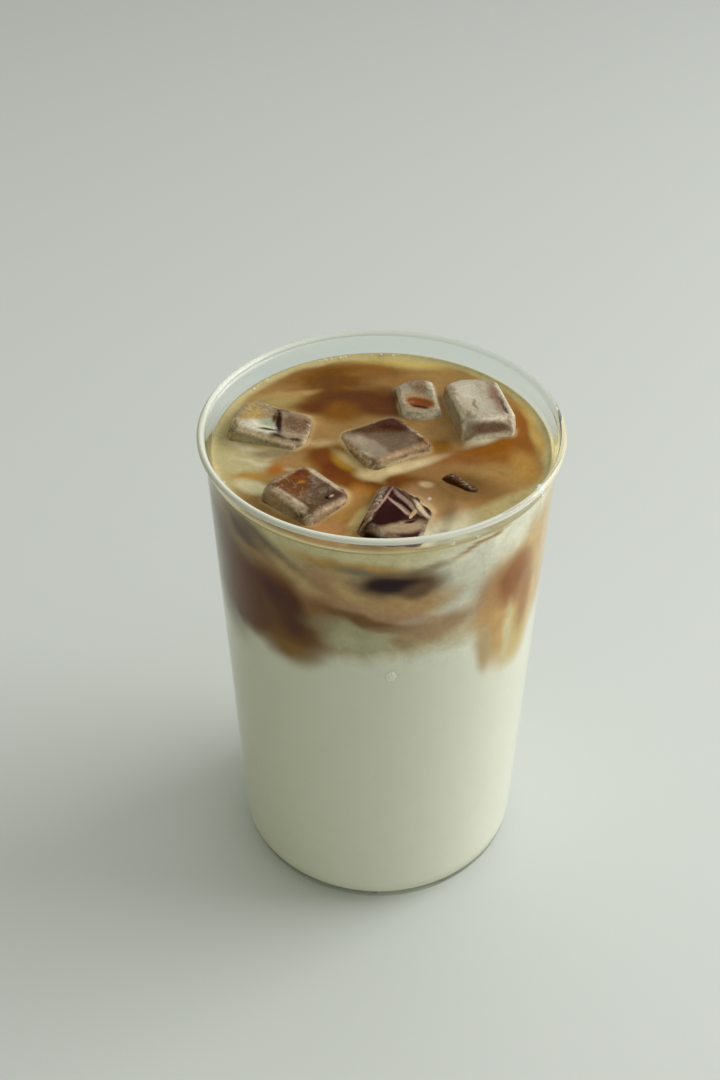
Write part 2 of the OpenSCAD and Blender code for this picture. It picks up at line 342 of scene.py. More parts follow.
MILK = (238, 234, 218)
MILK_TOP = 95  # height at which the milk's colour gives way
SWIRLS_IN = (86, 98)  # heights where the fine swirls set in
SIDE_BODY = (208, 188, 148)
PATCHES_AT = 100  # height at which side patches have their true width
SIDE_PATCHES = [
    (-90, 125.3, 400, 2.6, 0, (226, 212, 168), 0.5),
    (-54, 121, 19, 7, 8, (242, 236, 216), 0.5),
    (-100, 122.5, 13, 1.8, -5, (206, 162, 92), 0.6),
    (-128, 116.5, 18, 4.2, -30, (196, 154, 102), 0.5),
    (-155, 106, 12, 19, 0, (122, 88, 50), 0.5),
    (-168, 108, 6, 16, 0, (150, 122, 88), 0.6),
    (-127, 105.5, 17, 9.5, -8, (118, 66, 8), 0.4),
    (-125, 98.5, 9.5, 8, 0, (124, 80, 22), 0.6),
    (-141, 98, 7, 7, 10, (120, 68, 14), 0.5),
    (-124, 92.5, 6, 4.2, 0, (146, 106, 46), 0.8),
    (-125, 107, 9, 3.0, -14, (86, 44, 10), 0.7),
    (-121, 102, 4, 6, 0, (98, 56, 12), 0.7),
    (-136, 103, 4, 6, 0, (108, 66, 24), 0.7),
    (-147, 95, 2.2, 4, 10, (112, 78, 40), 0.8),
    (-107, 114.5, 8, 6.5, -38, (184, 144, 106), 0.5),
    (-110, 107, 3.4, 5, -20, (150, 108, 66), 0.6),
    (-130, 121.5, 12, 3.0, -26, (140, 116, 90), 0.5),
    (-140, 122, 4, 1.6, -30, (110, 88, 66), 0.9),
    (-120, 117, 7, 1.8, -30, (208, 174, 126), 0.9),
    (-64, 111, 9, 10, 0, (224, 217, 198), 0.5),
    (-91, 101.5, 14, 4, -4, (184, 174, 140), 0.5),
    (-86, 112, 13, 4.6, 0, (200, 160, 112), 0.4),
    (-100, 115.5, 5, 2.2, -36, (206, 170, 120), 0.5),
    (-87, 107.8, 13, 2.0, -8, (192, 150, 116), 0.5),
    (-98, 121.4, 5, 1.4, -16, (152, 136, 108), 0.6),
    (-76, 121.0, 4.5, 1.2, 10, (176, 160, 128), 0.6),
    (-85, 117.4, 9.6, 3.9, 0, (134, 108, 80), 0.35),
    (-85.5, 117, 6.6, 2.3, -3, (48, 18, 6), 0.4),
    (-79, 115.2, 3.4, 2.0, 20, (116, 88, 62), 0.6),
    (-94, 106, 10, 1.6, -11, (130, 92, 52), 0.6),
    (-80, 103.4, 8, 1.3, -8, (160, 126, 92), 0.6),
    (-77, 106.2, 4, 1.6, 0, (196, 168, 144), 0.6),
    (-70, 102.6, 8, 3.6, 10, (182, 148, 112), 0.6),
    (-82.5, 99.8, 2.2, 2.0, 0, (168, 136, 102), 0.6),
    (-97, 98.5, 8, 2.4, 0, (192, 184, 152), 0.6),
    (-46, 104, 8, 11, 0, (184, 138, 90), 0.5),
    (-27, 104, 8, 15, 0, (206, 168, 108), 0.5),
    (-45, 93, 6, 9, 8, (200, 158, 98), 0.6),
    (-35, 88, 6, 9, -6, (212, 182, 116), 0.6),
    (-40, 106.5, 5.5, 6.5, 0, (152, 92, 38), 0.6),
    (-33, 98, 3, 9, 0, (170, 118, 58), 0.7),
    (-52, 90, 2.0, 6, 10, (192, 164, 122), 0.7),
    (-41, 90, 1.4, 8, 0, (216, 196, 150), 0.7),
    (-58, 124.2, 7, 0.7, 14, (182, 134, 66), 0.6),
    (-10, 104, 9, 14, 0, (214, 184, 140), 0.6),
]
SIDE_COLOURS = [(120, 60, 8), (150, 100, 44), (196, 156, 108), (214, 194, 152), (160, 112, 56)]
# Patches painted at random where no listed ones are
STRAY_PATCHES = 30
STRAY_SEED = 7
STRAY_DIRECTIONS = (8, 172)
STRAY_HEIGHTS = (92, 120)
STRAY_LONG = (4, 13)  # half lengths
STRAY_WIDE = (3, 10)  # half widths

# Drops of water on the glass: direction, height, width
DROPS = [(-87, 89.5, 2.6), (-34, 131.0, 2.6), (-4, 117, 1.4), (150, 96, 1.8)]
# Strings of bubbles: direction and spread in degrees, distance from the wall, count
BUBBLE_STRINGS = [
    (106, 7, 0.3, 8),
    (86, 9, 0.3, 4),
    (140, 8, 0.3, 4),
    (-137, 4, 5.5, 3),
    (-62, 10, 0.3, 5),
    (-66, 4, 16.5, 3),
    (200, 10, 0.3, 4),
]
BUBBLE_SEED = 5
BUBBLE_WIDTH = (0.5, 1.1)  # from and to

# Ovals where the drink has drained off ice that is awash: centre, half length and width, turn, depth
DIPS = [
    ((10.4, -29.5), (11, 4.5), 71, 1.1),
    ((17.6, -14.4), (6, 3.5), -38, 0.45),
]

# The light. The room's brightness goes by direction, from 0 (low left) to 1 (high right).
ROOM_LIGHT = [
    (0.0, (0.10, 0.10, 0.05)),
    (0.35, (0.23, 0.23, 0.13)),
    (0.6, (0.47, 0.48, 0.42)),
    (1.0, (0.95, 0.98, 0.98)),
]
BRIGHT_SIDE = (0.80, 0.22, 0.56)
# The window's place, aim and size are in metres
WINDOW_AT = (1.10, 0.25, 0.75)
WINDOW_AIM = (0, 0, 0.08)
WINDOW_SIZE = (1.0, 0.8)
WINDOW_POWER = 11
WINDOW_COLOUR = (1.0, 1.0, 0.98)
FLOOR_SIZE = 3000
FLOOR_STEPS = 24
FLOOR_COLOUR = (0.655, 0.68, 0.665)
FLOOR_FADE = 0.78  # the floor's colour darkens to this share towards the back: painted shade
FLOOR_FADES = (0.1, 0.7)  # in metres behind the glass

# The camera of the main view
LOOK_AT = (-5.0, 0.0, 97.5)
ELEVATION = 39.1
DISTANCE = 371.0
LENS = 50.0
SENSOR = 36


def srgb(red, green, blue):
    """A colour of 0 to 255 a channel as linear light."""
    linear = []
    for level in (red, green, blue):
        c = level / 255
        linear.append(c / 12.92 if c <= 0.04045 else ((c + 0.055) / 1.055) ** 2.4)
    return (*linear, 1.0)


def smoothstep(low, high, x):
    t = np.clip((x - low) / (high - low), 0, 1)
    return t * t * (3 - 2 * t)


def noise(points, cell, seed):
    """Smooth noise from -1 to 1 at points of shape (n, 3), between random values cell apart."""
    q = points / cell + 100.0
    base = np.floor(q)
    part = q - base
    part = part * part * (3 - 2 * part)
    total = np.zeros(len(points))
    for corner in np.ndindex(2, 2, 2):
        lattice = base + corner
        mixed = lattice @ np.array([127.1, 311.7, 74.7]) + seed * 19.19
        value = np.modf(np.abs(np.sin(mixed) * 43758.5453))[0] * 2 - 1
        weight = np.prod(np.where(corner, part, 1 - part), axis=1)
        total += value * weight
    return total


def warp(points, cell, amount, seed):
    """points moved about by smooth noise."""
    moved = [noise(points, cell, seed + k) for k in range(3)]
    return points + amount * np.stack(moved, axis=1)


def unevenness(points, waves, seed=0):
    """The height at each point of waves of given width, height and seed."""
    return sum(height * noise(points, width, seed + other) for width, height, other in waves)


def new_object(name, vertices, faces):
    mesh = bpy.data.meshes.new(name)
    mesh.from_pydata((np.asarray(vertices) * MM).tolist(), [], faces)
    mesh.validate()
    obj = bpy.data.objects.new(name, mesh)
    bpy.context.scene.collection.objects.link(obj)
    return obj


def shade_smooth(obj):
    obj.data.polygons.foreach_set("use_smooth", [True] * len(obj.data.polygons))


def face_outwards(obj):
    bm = bmesh.new()
    bm.from_mesh(obj.data)
    bmesh.ops.recalc_face_normals(bm, faces=bm.faces)
    bm.to_mesh(obj.data)
    bm.free()


def positions(obj):
    """The object's vertices in millimetres."""
    flat = np.empty(len(obj.data.vertices) * 3)
    obj.data.vertices.foreach_get("co", flat)
    return flat.reshape(-1, 3) / MM


def set_positions(obj, points):
    obj.data.vertices.foreach_set("co", (points * MM).ravel())
    obj.data.update()


def add_field(obj, name, values):
    """A number at each vertex, which the materials read."""
    field = obj.data.attributes.new(name, "FLOAT", "POINT")
    field.data.foreach_set("value", np.asarray(values, float))


def add_tint(obj, colours):
    """A colour at each vertex, which the materials read."""
    field = obj.data.color_attributes.new("tint", "FLOAT_COLOR", "POINT")
    rgba = np.concatenate([np.clip(colours, 0, 0.95), np.ones((len(colours), 1))], axis=1)
    field.data.foreach_set("color", rgba.ravel())


def seat(obj, slot, *nodes):
    """Puts a finished piece in the frame: it rides on the body and stands for the nodes."""
    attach(obj, "root")
    if nodes:
        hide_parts(*nodes)


# ---------------------------------------------------------------- materials


def new_material(name):
    """An empty material with its output, as (material, function that adds a node, link function)."""
    material = bpy.data.materials.new(name)
    material.use_nodes = True
    tree = material.node_tree
    tree.nodes.clear()

    def add(kind, **settings):
        node = tree.nodes.new(kind)
        for key, value in settings.items():
            if hasattr(node, key):
                setattr(node, key, value)
            else:
                node.inputs[key.replace("_", " ")].default_value = value
        return node

    return material, add, tree.links.new


def field(add, name):
    """The number that add_field put at each vertex."""
    return add("ShaderNodeAttribute", attribute_name=name).outputs["Fac"]


def noise_node(add, link, coordinates, size, detail=4.0, roughness=0.55, distortion=0.0):
    """A noise texture whose features are about size millimetres across."""
    texture = add("ShaderNodeTexNoise", Scale=1 / (size * MM), Detail=detail, Roughness=roughness,
                  Distortion=distortion)
    link(coordinates, texture.inputs["Vector"])
    return texture.outputs["Fac"]


def bump_node(add, link, height, strength, distance):
    """Bumps of the height texture, distance millimetres high."""
    bump = add("ShaderNodeBump", Strength=strength, Distance=distance * MM)
    link(height, bump.inputs["Height"])
    return bump.outputs[0]


def map_range(add, link, value, low, high, to_low, to_high):
    node = add("ShaderNodeMapRange", From_Min=low, From_Max=high, To_Min=to_low, To_Max=to_high)
    link(value, node.inputs["Value"])
    return node.outputs["Result"]


def math_node(add, link, operation, a, b):
    node = add("ShaderNodeMath", operation=operation)
    for index, value in enumerate((a, b)):
        if isinstance(value, (int, float)):
            node.inputs[index].default_value = value
        else:
            link(value, node.inputs[index])
    return node.outputs[0]


def mix_shaders(add, link, share, first, second):
    """The first shader where the share, a number or a link, is 0, and the second where it is 1."""
    mix = add("ShaderNodeMixShader")
    if isinstance(share, float):
        mix.inputs[0].default_value = share
    else:
        link(share, mix.inputs[0])
    link(first, mix.inputs[1])
    link(second, mix.inputs[2])
    return mix.outputs[0]


def let_light_in(add, link, shader, tint):
    """The shader as seen, but clear to lamps and to light that is already scattered."""
    path = add("ShaderNodeLightPath")
    clear = add("ShaderNodeBsdfTransparent", Color=tint)
    either = math_node(add, link, "MAXIMUM", path.outputs["Is Shadow Ray"], path.outputs["Is Diffuse Ray"])
    return mix_shaders(add, link, either, shader, clear.outputs[0])


def glass_material():
    """Clear glass; a pale layer on its rim is a painted highlight, and on its foot painted light."""
    material, add, link = new_material("tumbler_glass")
    place = add("ShaderNodeTexCoord").outputs["Object"]
    smear = noise_node(add, link, place, 18, detail=3)
    body = add("ShaderNodeBsdfPrincipled", Base_Color=(0.925, 0.955, 0.915, 1), IOR=GLASS_IOR,
               Transmission_Weight=1.0)
    link(map_range(add, link, smear, 0.45, 0.8, 0.0, 0.035), body.inputs["Roughness"])
    ripple = noise_node(add, link, place, 9, detail=1)
    link(bump_node(add, link, ripple, 0.04, 0.2), body.inputs["Normal"])
    # the pale layer: a painted highlight on the rim and painted light on the foot
    rim = add("ShaderNodeBsdfPrincipled", Base_Color=(0.86, 0.87, 0.76, 1), Roughness=0.12)
    mix = mix_shaders(add, link, field(add, "rim"), body.outputs[0], rim.outputs[0])
    out = add("ShaderNodeOutputMaterial")
    link(let_light_in(add, link, mix, (0.93, 0.95, 0.92, 1)), out.inputs["Surface"])
    return material


def shaded(add, link, colour, factor):
    """The colour times a number."""
    node = add("ShaderNodeVectorMath", operation="SCALE")
    link(colour, node.inputs[0])
    link(factor, node.inputs["Scale"])
    return node.outputs["Vector"]


def latte_material(name, wet):
    """The drink. wet is for its open surface: against the glass nothing shines."""
    material, add, link = new_material(name)
    place = add("ShaderNodeTexCoord").outputs["Object"]
    tint = add("ShaderNodeAttribute", attribute_name="tint").outputs["Color"]
    clouds = noise_node(add, link, place, 9, detail=3, roughness=0.5, distortion=1.2)
    wisps = noise_node(add, link, place, 2.6, detail=3, roughness=0.5, distortion=2.0)
    swirl = math_node(add, link, "ADD", map_range(add, link, clouds, 0.3, 0.7, -0.12, 0.12),
                      map_range(add, link, wisps, 0.3, 0.7, -0.07, 0.07))
    swirl = math_node(add, link, "ADD", math_node(add, link, "MULTIPLY", swirl, field(add, "mixed")), 1.0)
    if wet:
        body = add("ShaderNodeBsdfPrincipled", IOR=1.34, Specular_IOR_Level=0.2, Specular_Tint=SHINE,
                   Roughness=0.08)
        ripple = noise_node(add, link, place, 3.5, detail=2)
        link(bump_node(add, link, ripple, 0.12, 0.3), body.inputs["Normal"])
    else:
        body = add("ShaderNodeBsdfPrincipled", Specular_IOR_Level=0.0, Roughness=0.9)
    link(shaded(add, link, tint, swirl), body.inputs["Base Color"])
    link(body.outputs[0], add("ShaderNodeOutputMaterial").inputs["Surface"])
    return material


def ice_material():
    """Wet ice, partly clear, with its cracks and clouds painted in, and frosty bands that hold pale
    painted glints and dark specks of painted shade.
    """
    material, add, link = new_material("ice")
    place = add("ShaderNodeTexCoord").outputs["Object"]
    tint = add("ShaderNodeAttribute", attribute_name="tint").outputs["Color"]
    grain = noise_node(add, link, place, 0.8, detail=4, roughness=0.65, distortion=1.5)
    cracks = noise_node(add, link, place, 2.4, detail=5, roughness=0.6, distortion=2.5)
    flecks = noise_node(add, link, place, 1.5, detail=5, roughness=0.7, distortion=0.8)
    bump = bump_node(add, link, grain, 0.5, 0.3)
    frost = field(add, "frost")
    # Dark specks of painted shade and pale painted glints, as strong as the frosty field read above
    dark = math_node(add, link, "MULTIPLY", map_range(add, link, flecks, 0.36, 0.48, 0.4, 0.0), frost)
    pale = math_node(add, link, "MULTIPLY", map_range(add, link, flecks, 0.52, 0.62, 0.0, 0.6), frost)
    marked = math_node(add, link, "ADD", map_range(add, link, grain, 0.35, 0.65, 0.80, 1.16),
                       map_range(add, link, cracks, 0.55, 0.70, 0.0, 0.22))
    marked = math_node(add, link, "MULTIPLY", marked, math_node(add, link, "SUBTRACT", 1.0, dark))
    painted = shaded(add, link, tint, marked)
    colour = add("ShaderNodeMix", data_type="RGBA")
    unflecked, painted_glint = [socket for socket in colour.inputs if socket.type == "RGBA"]
    link(pale, colour.inputs[0])
    link(painted, unflecked)
    # the colour of the pale painted glints
    painted_glint.default_value = (0.86, 0.79, 0.67, 1)
    cloudy = add("ShaderNodeBsdfPrincipled", IOR=1.31, Specular_IOR_Level=0.16, Specular_Tint=SHINE)
    link(colour.outputs[2], cloudy.inputs["Base Color"])
    link(map_range(add, link, cracks, 0.3, 0.7, 0.05, 0.25), cloudy.inputs["Roughness"])
    link(bump, cloudy.inputs["Normal"])
    deep = add("ShaderNodeBsdfPrincipled", Specular_IOR_Level=0.02, Roughness=0.5)
    link(painted, deep.inputs["Base Color"])
    # The clear part's brown tint is painted light: the light inside the ice, coloured by the coffee round
    # it
    clear = add("ShaderNodeBsdfPrincipled", Base_Color=(0.66, 0.54, 0.42, 1), IOR=1.31, Roughness=0.04,
                Specular_IOR_Level=0.3, Specular_Tint=SHINE, Transmission_Weight=1.0)
    link(bump, clear.inputs["Normal"])
    solid = mix_shaders(add, link, field(add, "deep"), cloudy.outputs[0], deep.outputs[0])
    mix = mix_shaders(add, link, field(add, "clear"), solid, clear.outputs[0])
    link(mix, add("ShaderNodeOutputMaterial").inputs["Surface"])
    return material


def water_material(name, pale_share):
    """Clear water or the skin of a bubble, with a share of a pale layer mixed in; on the drops that
    layer is a painted highlight.
    """
    material, add, link = new_material(name)
    place = add("ShaderNodeTexCoord").outputs["Object"]
    body = add("ShaderNodeBsdfPrincipled", Base_Color=(0.98, 0.99, 0.98, 1), IOR=1.33,
               Transmission_Weight=1.0)
    link(map_range(add, link, noise_node(add, link, place, 1), 0, 1, 0.0, 0.04), body.inputs["Roughness"])
    pale = add("ShaderNodeBsdfPrincipled", Base_Color=(0.88, 0.87, 0.80, 1), Roughness=0.1)
    mix = mix_shaders(add, link, pale_share, body.outputs[0], pale.outputs[0])
    out = add("ShaderNodeOutputMaterial")
    link(let_light_in(add, link, mix, (0.95, 0.96, 0.95, 1)), out.inputs["Surface"])
    return material


# ---------------------------------------------------------------- the glass


def body_r(z):
    """Radius of the outside of the straight body."""
    return FOOT_R + (NECK_R - FOOT_R) * (z - CORNER_R) / (LEVEL - CORNER_R)


def outer_r(z):
    bead_z = GLASS_H - BEAD_R
    t = max(0.0, (z - LEVEL) / (bead_z - LEVEL))
    return body_r(z) + (RIM_R - BEAD_R + WALL / 2 - body_r(bead_z)) * t * t


def inner_r(z):
    return outer_r(z) - WALL


def arc(centre, radius, start, end, count):
    angles = np.radians(np.linspace(start, end, count))
    return [(centre[0] + radius * math.cos(a), centre[1] + radius * math.sin(a)) for a in angles]


def inner_corner(grow=0.0, count=14):
    """The rounded corner inside, between floor and wall, moved grow into the glass."""
    radius = CORNER_R - WALL
    z = FLOOR_Z + radius
    return arc((inner_r(z) - radius, z), radius + grow, -90, 0, count)


def glass_profile():
    bead_z = GLASS_H - BEAD_R
    lip_z = bead_z - BEAD_R / 2
    heights = np.concatenate([np.linspace(CORNER_R + 1, LEVEL, 30), np.linspace(LEVEL, lip_z, 12)[1:]])
    punt = [(r, PUNT_H * (1 - (r / PUNT_R) ** 2)) for r in np.linspace(0, PUNT_R, 12)]
    outside = arc((FOOT_R - CORNER_R, CORNER_R), CORNER_R, -90, 0, 18)
    outside += [(outer_r(z), z) for z in heights]
    bead = arc((RIM_R - BEAD_R, bead_z), BEAD_R, -25, 205, 22)
    inside = [(inner_r(z), z) for z in heights[::-1] if z > FLOOR_Z + CORNER_R]
    floor = [(r, FLOOR_Z) for r in np.linspace(inner_corner()[0][0], 0, 10)[1:]]
    return punt + outside + bead + inside + inner_corner()[::-1] + floor


def lathe(name, profile, around):
    """A solid of revolution. The profile starts and ends on the axis."""
    angles = np.linspace(0, 2 * math.pi, around, endpoint=False)
    rings = profile[1:-1]
    vertices = [(r * math.cos(a), r * math.sin(a), z) for r, z in rings for a in angles]
    faces = []
    for i in range(len(rings) - 1):
        for j in range(around):
            k = (j + 1) % around
            faces.append((i * around + j, i * around + k, (i + 1) * around + k, (i + 1) * around + j))
    for end, ring in ((profile[0], 0), (profile[-1], len(rings) - 1)):
        vertices.append((0, 0, end[1]))
        centre = len(vertices) - 1
        for j in range(around):
            faces.append((centre, ring * around + (j + 1) % around, ring * around + j))
    obj = new_object(name, vertices, faces)
    face_outwards(obj)
    shade_smooth(obj)
    return obj


def make_glass():
    glass = lathe("tumbler", glass_profile(), AROUND)
    points = positions(glass)
    # A pale layer mixed into the glass: a painted highlight round the rim, strongest towards
    # RIM_SHINES_TO, and painted light on the foot
    facing = points[:, :2] @ RIM_SHINES_TO / np.maximum(np.hypot(points[:, 0], points[:, 1]), 1)
    sheen = RIM_PAINTED_SHEEN * (1 + RIM_SWING * facing)
    rim = sheen * smoothstep(GLASS_H - RIM_BAND[0], GLASS_H - RIM_BAND[1], points[:, 2])
    add_field(glass, "rim", rim + FOOT_PAINTED_LIGHT * smoothstep(*FOOT_BAND, points[:, 2]))
    glass.data.materials.append(glass_material())
    seat(glass, "glass", "glass")
    return glass


# ---------------------------------------------------------------- mixing colours


def oval(u, v, centre, half, turn):
    """How far points lie from the centre of an oval: 0 there and 1 on its edge."""
    a = math.radians(turn)
    du = u - centre[0]
    dv = v - centre[1]
    along = (du * math.cos(a) + dv * math.sin(a)) / half[0]
    across = (dv * math.cos(a) - du * math.sin(a)) / half[1]
    return np.hypot(along, across)


def patch_over(colours, u, v, centre, half, turn, colour, soft):
    """Lays an oval patch of a colour over the colours so far."""
    cover = 1 - smoothstep(1 - soft, 1 + soft, oval(u, v, centre, half, turn))
    return colours + (np.array(srgb(*colour)[:3]) - colours) * cover[:, None]


def blend(low, high, share):
    """From one colour to another as the share at each point goes from 0 to 1."""
    low = np.array(srgb(*low)[:3]) if isinstance(low, tuple) else low
    return low + (np.array(srgb(*high)[:3]) - low) * share[:, None]


# ---------------------------------------------------------------- the ice


def melted(node):
    """A copy of a CAD ice cube with its edges melted round; make_ice makes its faces uneven."""
    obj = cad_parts[node].copy()
    obj.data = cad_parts[node].data.copy()
    obj.name = node.replace("ice_", "cube_")
    obj.parent = None
    bpy.context.scene.collection.objects.link(obj)
    remesh = obj.modifiers.new("even", "REMESH")
    remesh.mode = "VOXEL"
    remesh.voxel_size = ICE_VOXEL * MM
    smooth = obj.modifiers.new("melt", "SMOOTH")
    smooth.factor = 0.6
    smooth.iterations = ICE_SMOOTHING
    bpy.context.view_layer.update()
    shape = obj.evaluated_get(bpy.context.evaluated_depsgraph_get())
    mesh = bpy.data.meshes.new_from_object(shape)
    obj.modifiers.clear()
    obj.data = mesh
    return obj


def near_edges(points, turn, reach):
    """From 0 on the faces of a block to 1 within reach of its edges and corners."""
    rotation = np.array(Euler([math.radians(t) for t in turn], "XYZ").to_matrix())
    local = np.abs((points - (points.max(0) + points.min(0)) / 2) @ rotation)
    depth = np.sort(local.max(0) - local, axis=1)
    return smoothstep(reach + 0.25, reach - 0.25, depth[:, 1])


def make_ice(material):
    """The cubes, painted as they look from the main view, as {CAD node: cube}."""
    cubes = {}
    for seed, (node, look) in enumerate(ICE.items()):
        cube = melted(node)
        points = positions(cube)
        normals = np.array([v.normal for v in cube.data.vertices])
        rough = unevenness(points, ICE_WAVES, seed)
        set_positions(cube, points + normals * rough[:, None])
        moved = warp(points, 2.5, 0.35, seed + 90)
        x = moved[:, 0]
        y = moved[:, 1] + VIEW_SLOPE * (moved[:, 2] - look["plane"])
        colours = np.tile(srgb(*look["body"])[:3], (len(points), 1))
        for mark in look["marks"]:
            colours = patch_over(colours, x, y, mark[0:2], mark[2:4], *mark[4:])
        broken = 0.5 + 0.5 * smoothstep(-0.4, 0.5, noise(points, 3.0, seed + 70))
        # Lighter lines along the edges: partly rime, partly painted highlight
        for reach, share, lightness in EDGE_LINES:
            colour = tuple(min(255, level * lightness) for level in look["rim"])
            edges = near_edges(points, look["turn"], reach)
            colours = blend(colours, colour, share * broken * edges)
        add_tint(cube, colours * ICE_LIGHTEN - VEIL)
        # Frosty bands that hold painted glints: along the edges, and more thinly over the faces, less
        # where the ice is dark
        patchy = smoothstep(-0.5, 0.6, noise(points, 4.0, seed + 110))
        edge_frost_and_glints = near_edges(points, look["turn"], FROST_REACH) * (0.35 + 0.65 * patchy)
        brightness = colours.mean(axis=1)
        light = smoothstep(0.0, DIM, brightness)
        add_field(cube, "clear", ICE_CLEAR * light)
        add_field(cube, "deep", 1 - smoothstep(0.0, DEEP, brightness))
        add_field(cube, "frost", np.maximum(edge_frost_and_glints, look["frost"] * patchy) * light)
        cube.data.materials.clear()
        cube.data.materials.append(material)
        shade_smooth(cube)
        seat(cube, "ice", node)
        cubes[node] = cube
    return cubes


# ---------------------------------------------------------------- the drink


def stray_patches():
    """Patches for the back of the drink, of the same kind as those at the front."""
    rng = np.random.default_rng(STRAY_SEED)
    patches = []
    for _ in range(STRAY_PATCHES):
        direction = rng.uniform(*STRAY_DIRECTIONS)
        height = rng.uniform(*STRAY_HEIGHTS)
        half = (rng.uniform(*STRAY_LONG), rng.uniform(*STRAY_WIDE))
        colour = SIDE_COLOURS[rng.integers(len(SIDE_COLOURS))]
        patches.append((direction, height, *half, rng.uniform(-30, 30), colour, rng.uniform(0.4, 0.7)))
    return patches


def side_colours(points):
    moved = warp(warp(points, 12.0, 1.8, 1), 4.0, 0.8, 11)
    direction = np.degrees(np.arctan2(moved[:, 1], moved[:, 0]))
    radius = inner_r(PATCHES_AT)
    z = moved[:, 2]
    edge = MILK_TOP + 1.5 * noise(points, 16.0, 21)
    colours = blend(MILK, SIDE_BODY, smoothstep(edge - 4, edge + 4, z))
    for patch in stray_patches() + SIDE_PATCHES:
        turned = (direction - patch[0] + 180) % 360 - 180
        u = np.radians(turned) * radius
        colours = patch_over(colours, u, z, (0, patch[1]), patch[2:4], *patch[4:])
    return colours


def top_colours(points):
    moved = warp(warp(points, 10.0, 1.2, 31), 3.5, 0.5, 35)
    colours = np.tile(srgb(*TOP_BODY)[:3], (len(points), 1))
    for patch in TOP_PATCHES:
        colours = patch_over(colours, moved[:, 0], moved[:, 1], patch[0:2], patch[2:4], *patch[4:])
    distance = np.hypot(points[:, 0], points[:, 1]) + 0.6 * noise(points, 5, 51)
    edge = inner_r(LEVEL)
    return blend(colours, TOP_EDGE, smoothstep(edge - 2.6, edge - 0.6, distance))


def wall_climb(distance):
    """How far the drink climbs at a distance from the wall."""
    return WALL_CLIMB * math.exp(-distance / WALL_CURVE)


def surface_heights(points, cubes):
    """Height of the drink's open surface at each point, the cube above it if any and the gap to the
    nearest cube. Under each cube the surface drops to the cube's own underside."""
    trees = {n: BVHTree.FromObject(c, bpy.context.evaluated_depsgraph_get()) for n, c in cubes.items()}
    heights = np.empty(len(points))
    above_it = [None] * len(points)
    gaps = np.full(len(points), NO_ICE)
    edge = inner_r(LEVEL) + REACH
    wave = unevenness(points, DRINK_WAVES)
    dips = np.zeros(len(points))
    for centre, half, turn, depth in DIPS:
        far = oval(points[:, 0], points[:, 1], centre, half, turn)
        dips = np.maximum(dips, depth * smoothstep(1.2, 0.4, far))
    rise = {n: max(v[2] for v in c.bound_box) / MM - LEVEL for n, c in cubes.items()}
    up = Vector((0, 0, 1))
    for i, (x, y, _) in enumerate(points):
        to_wall = edge - math.hypot(x, y)
        inland = min(1.0, max(to_wall, 0) / INLAND)
        height = LEVEL + (wave[i] - dips[i]) * inland + wall_climb(max(to_wall, 0))
        at = Vector((x * MM, y * MM, (LEVEL + 0.1 - dips[i] * inland) * MM))
        for node, tree in trees.items():
            gap = tree.find_nearest(at, NEAR_ICE * MM)[3]
            if gap is None:
                continue
            below = tree.ray_cast(at - up * PROBE * MM, up, PROBE * MM)[0]
            above = tree.ray_cast(at + up * PROBE * MM, -up, PROBE * MM)[0]
            inside = below is not None and above is not None
            if inside and gap > COVERED * MM:
                height = below.z / MM + UNDER_ICE
                above_it[i] = node
                break
            if inside:
                gap = 0
            if rise[node] > AWASH:
                height += ICE_CLIMB * math.exp(-gap / (ICE_CURVE * MM))
                gaps[i] = min(gaps[i], gap / MM)
        heights[i] = height
    return heights, above_it, gaps


